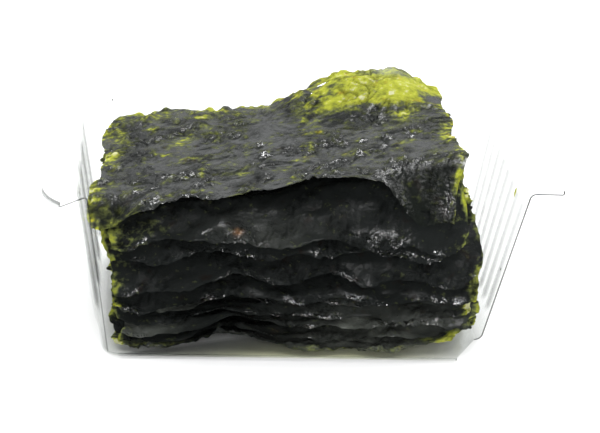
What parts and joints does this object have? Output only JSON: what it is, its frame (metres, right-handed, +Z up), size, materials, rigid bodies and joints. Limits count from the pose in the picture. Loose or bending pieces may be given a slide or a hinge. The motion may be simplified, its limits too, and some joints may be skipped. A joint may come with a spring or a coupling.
{
  "type": "roasted seaweed snack",
  "caption": "Loose stack of thin, wavy roasted seaweed sheets in their clear plastic tray, whose front is cut away so that the layers show.",
  "frame": {"origin": "under the middle of the tray, on the surface that it stands on", "axes": "+X to the right as seen from the cut-away front, +Y from the front to the back wall, +Z up"},
  "size_m": [0.116, 0.0838, 0.0512],
  "materials": {
    "clear_plastic": "clear, smooth and glossy",
    "seaweed": "crisp, wrinkled and oily, nearly black",
    "top_seaweed": "crisp, wrinkled and oily, dark grey-green with yellow-green thin patches"
  },
  "bodies": {
    "root": {"tray": "clear_plastic", "sheet_01": "seaweed", "sheet_02": "seaweed", "sheet_03": "seaweed", "sheet_04": "seaweed", "sheet_05": "seaweed", "sheet_06": "seaweed", "sheet_07": "seaweed", "sheet_08": "seaweed", "sheet_09": "seaweed", "sheet_10": "seaweed", "sheet_11": "seaweed", "sheet_12": "top_seaweed"}
  },
  "joints": []
}
